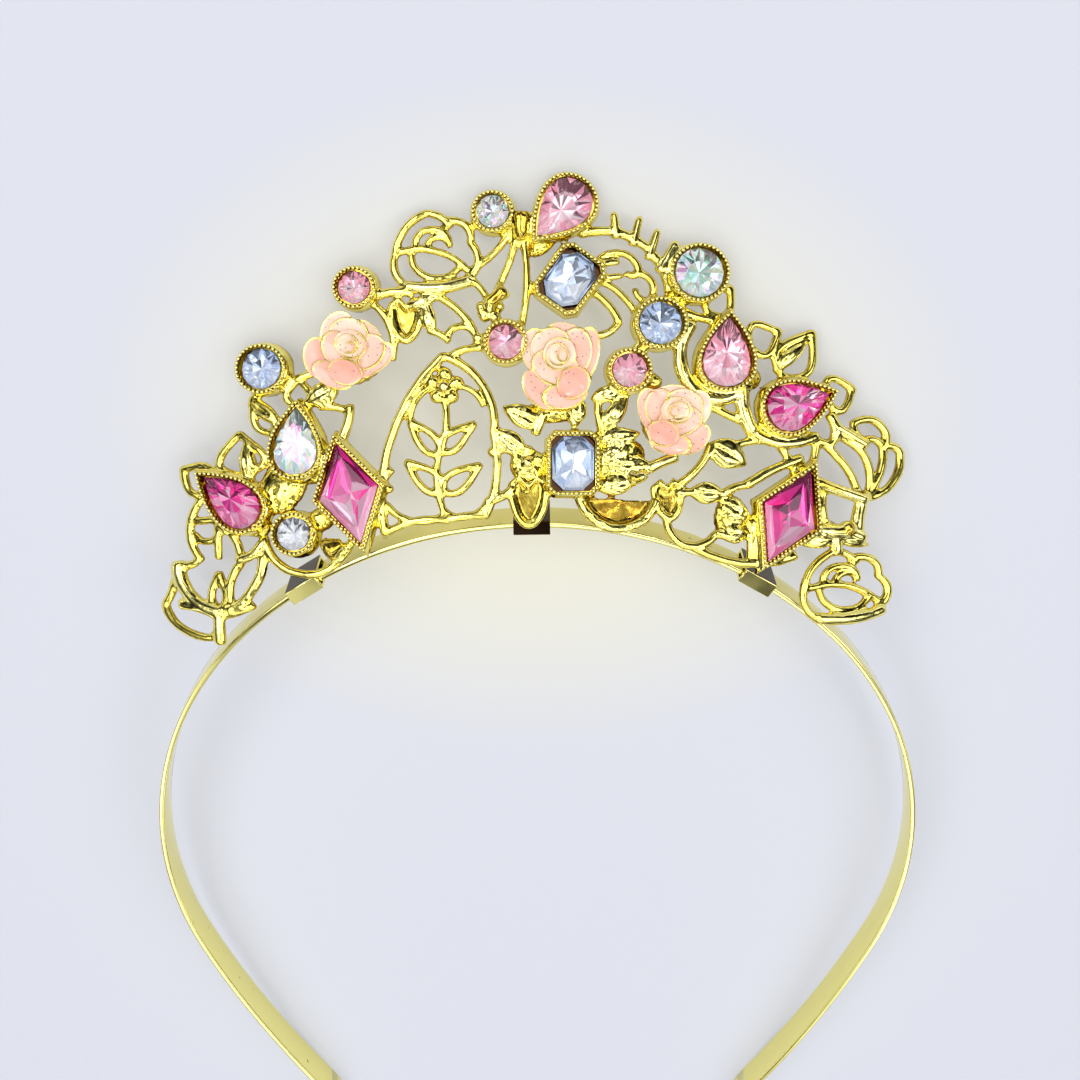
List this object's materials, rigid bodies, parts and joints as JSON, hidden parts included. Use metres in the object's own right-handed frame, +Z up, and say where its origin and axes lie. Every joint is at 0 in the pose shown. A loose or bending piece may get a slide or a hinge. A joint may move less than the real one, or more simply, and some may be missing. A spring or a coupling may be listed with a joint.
{
  "type": "tiara",
  "caption": "Pierced cast tiara ornament with faceted stones and enamelled roses, clipped to a flat metal headband, lying on its back.",
  "frame": {"origin": "on the surface the tiara lies on, under the middle of its bounding box", "axes": "+Z up, +Y from the headband's tips towards the ornament's top, +X to the right as seen from the front"},
  "size_m": [0.1252, 0.1666, 0.0195],
  "materials": {
    "gold_plate": "bright lemon-gold plating, mirror polished on the band, softly rippled on the casting",
    "pink_enamel": "peach-pink enamel with fine glitter, in gold cell lines",
    "stone_pink": "faceted foil-backed rose pink stone",
    "stone_magenta": "faceted foil-backed magenta stone",
    "stone_blue": "faceted foil-backed pale blue stone",
    "stone_opal": "faceted clear stone with a rainbow coating",
    "stone_clear": "faceted foil-backed clear stone"
  },
  "bodies": {
    "root": {"openwork": "gold_plate", "headband": "gold_plate", "clip_left": "gold_plate", "clip_centre": "gold_plate", "clip_right": "gold_plate", "stone_round_opal_top": "stone_opal", "stone_pear_pink_top": "stone_pink", "stone_octagon_blue_top": "stone_blue", "stone_round_opal_right": "stone_opal", "stone_round_blue_right": "stone_blue", "stone_round_pink_right": "stone_pink", "stone_round_pink_centre": "stone_pink", "stone_pear_pink_right": "stone_pink", "stone_pear_magenta_right": "stone_magenta", "stone_round_pink_left": "stone_pink", "stone_round_blue_left": "stone_blue", "stone_pear_opal_left": "stone_opal", "stone_pear_magenta_left": "stone_magenta", "stone_round_clear_left": "stone_clear", "stone_rhombus_magenta_left": "stone_magenta", "stone_rhombus_magenta_right": "stone_magenta", "stone_octagon_blue_centre": "stone_blue", "rose_left": "pink_enamel", "rose_centre": "pink_enamel", "rose_right": "pink_enamel"}
  },
  "joints": []
}
